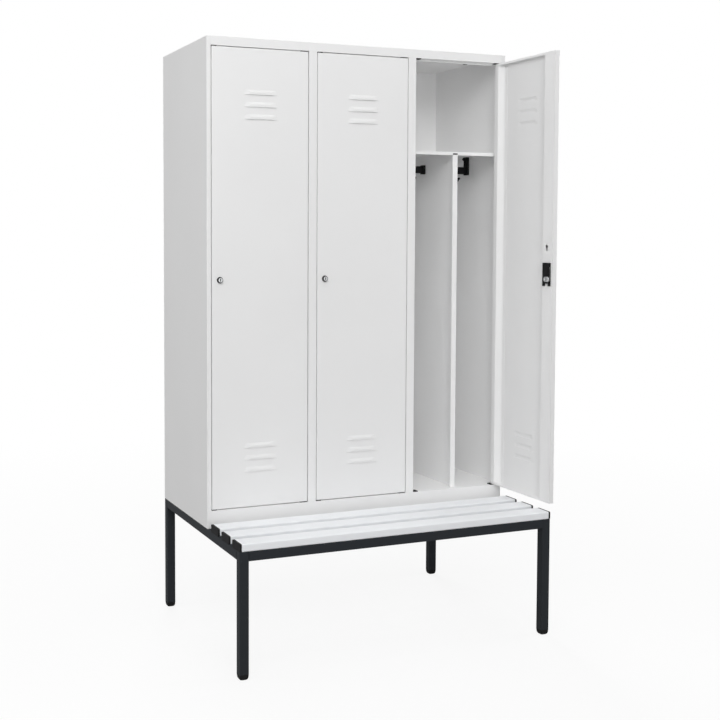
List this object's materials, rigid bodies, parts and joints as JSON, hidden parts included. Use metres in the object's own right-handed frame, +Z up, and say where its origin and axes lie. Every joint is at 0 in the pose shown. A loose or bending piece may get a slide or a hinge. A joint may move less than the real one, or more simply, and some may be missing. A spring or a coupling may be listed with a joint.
{
  "type": "locker unit with bench",
  "caption": "Steel locker of side-by-side tall compartments with louvred hinged doors, hat shelf, divider and coat hooks, on a tube frame with a slatted bench in front.",
  "frame": {"origin": "on the floor, under the middle of the whole with the right door standing open as at rest", "axes": "+X to the right seen from the front, +Y from the doors to the back, +Z up"},
  "size_m": [1.19, 0.8482, 2.11],
  "materials": {
    "cabinet_paint": "light grey powder coat, fine texture, semi-matt",
    "frame_paint": "anthracite powder coat, semi-matt",
    "slat_plastic": "light grey extruded plastic, satin",
    "black_plastic": "black moulded plastic",
    "lock_black": "black coated die cast",
    "plain_steel": "zinc plated steel"
  },
  "bodies": {
    "cabinet": {"side_panel_left": "cabinet_paint", "side_panel_right": "cabinet_paint", "back_panel": "cabinet_paint", "roof_panel": "cabinet_paint", "floor_panel": "cabinet_paint", "partition_left": "cabinet_paint", "partition_right": "cabinet_paint", "hat_shelf_left": "cabinet_paint", "centre_divider_left": "cabinet_paint", "hat_shelf_middle": "cabinet_paint", "centre_divider_middle": "cabinet_paint", "hat_shelf_right": "cabinet_paint", "centre_divider_right": "cabinet_paint", "front_legs": "frame_paint", "rear_legs": "frame_paint", "front_rail": "frame_paint", "rear_rail": "frame_paint", "side_rails": "frame_paint", "seat_slat_front": "slat_plastic", "seat_slat_middle": "slat_plastic", "seat_slat_rear": "slat_plastic", "coat_rails": "black_plastic", "rail_brackets": "black_plastic", "rail_collars": "black_plastic", "hinge_bushes": "black_plastic", "door_buffers": "black_plastic", "foot_glides": "black_plastic", "slat_end_caps": "black_plastic", "slat_screws": "plain_steel", "cabinet_screws": "plain_steel"},
    "door_left": {"door_skin_left": "cabinet_paint", "door_stiffeners_left": "cabinet_paint", "hinge_pins_left": "plain_steel", "lock_body_left": "lock_black", "lock_case_left": "black_plastic"},
    "lock_left": {"lock_plug_left": "plain_steel", "lock_cam_left": "plain_steel", "cam_screw_left": "plain_steel"},
    "hook_left_1": {"coat_hook_left_1": "black_plastic"},
    "hook_left_2": {"coat_hook_left_2": "black_plastic"},
    "door_middle": {"door_skin_middle": "cabinet_paint", "door_stiffeners_middle": "cabinet_paint", "hinge_pins_middle": "plain_steel", "lock_body_middle": "lock_black", "lock_case_middle": "black_plastic"},
    "lock_middle": {"lock_plug_middle": "plain_steel", "lock_cam_middle": "plain_steel", "cam_screw_middle": "plain_steel"},
    "hook_middle_1": {"coat_hook_middle_1": "black_plastic"},
    "hook_middle_2": {"coat_hook_middle_2": "black_plastic"},
    "door_right": {"door_skin_right": "cabinet_paint", "door_stiffeners_right": "cabinet_paint", "hinge_pins_right": "plain_steel", "lock_body_right": "lock_black", "lock_case_right": "black_plastic"},
    "lock_right": {"lock_plug_right": "plain_steel", "lock_cam_right": "plain_steel", "cam_screw_right": "plain_steel"},
    "hook_right_1": {"coat_hook_right_1": "black_plastic"},
    "hook_right_2": {"coat_hook_right_2": "black_plastic"}
  },
  "joints": [
    {"name": "door_left_hinge", "type": "hinge", "parent": "cabinet", "child": "door_left", "pos_m": [-0.223, -0.06992, 1.281], "axis": [0, 0, 1], "range_deg": [0, 105]},
    {"name": "lock_left_turn", "type": "hinge", "parent": "door_left", "child": "lock_left", "pos_m": [-0.548, -0.07592, 1.281], "axis": [0, -1, 0], "range_deg": [0, 90]},
    {"name": "hook_left_1_slide", "type": "slide", "parent": "cabinet", "child": "hook_left_1", "axis": [1, 0, 0], "range_m": [-0.123, 0.0385]},
    {"name": "hook_left_2_slide", "type": "slide", "parent": "cabinet", "child": "hook_left_2", "axis": [1, 0, 0], "range_m": [-0.124, 0.0385]},
    {"name": "door_middle_hinge", "type": "hinge", "parent": "cabinet", "child": "door_middle", "pos_m": [0.174, -0.06992, 1.281], "axis": [0, 0, 1], "range_deg": [0, 105]},
    {"name": "lock_middle_turn", "type": "hinge", "parent": "door_middle", "child": "lock_middle", "pos_m": [-0.151, -0.07592, 1.281], "axis": [0, -1, 0], "range_deg": [0, 90]},
    {"name": "hook_middle_1_slide", "type": "slide", "parent": "cabinet", "child": "hook_middle_1", "axis": [1, 0, 0], "range_m": [-0.124, 0.0385]},
    {"name": "hook_middle_2_slide", "type": "slide", "parent": "cabinet", "child": "hook_middle_2", "axis": [1, 0, 0], "range_m": [-0.124, 0.0385]},
    {"name": "door_right_hinge", "type": "hinge", "parent": "cabinet", "child": "door_right", "pos_m": [0.571, -0.06992, 1.281], "axis": [0, 0, 1], "range_deg": [-91, 14]},
    {"name": "lock_right_turn", "type": "hinge", "parent": "door_right", "child": "lock_right", "pos_m": [0.58267, -0.39477, 1.281], "axis": [0.9998, 0.0175, 0], "range_deg": [0, 90]},
    {"name": "hook_right_1_slide", "type": "slide", "parent": "cabinet", "child": "hook_right_1", "axis": [1, 0, 0], "range_m": [-0.124, 0.0385]},
    {"name": "hook_right_2_slide", "type": "slide", "parent": "cabinet", "child": "hook_right_2", "axis": [1, 0, 0], "range_m": [-0.123, 0.0385]}
  ]
}
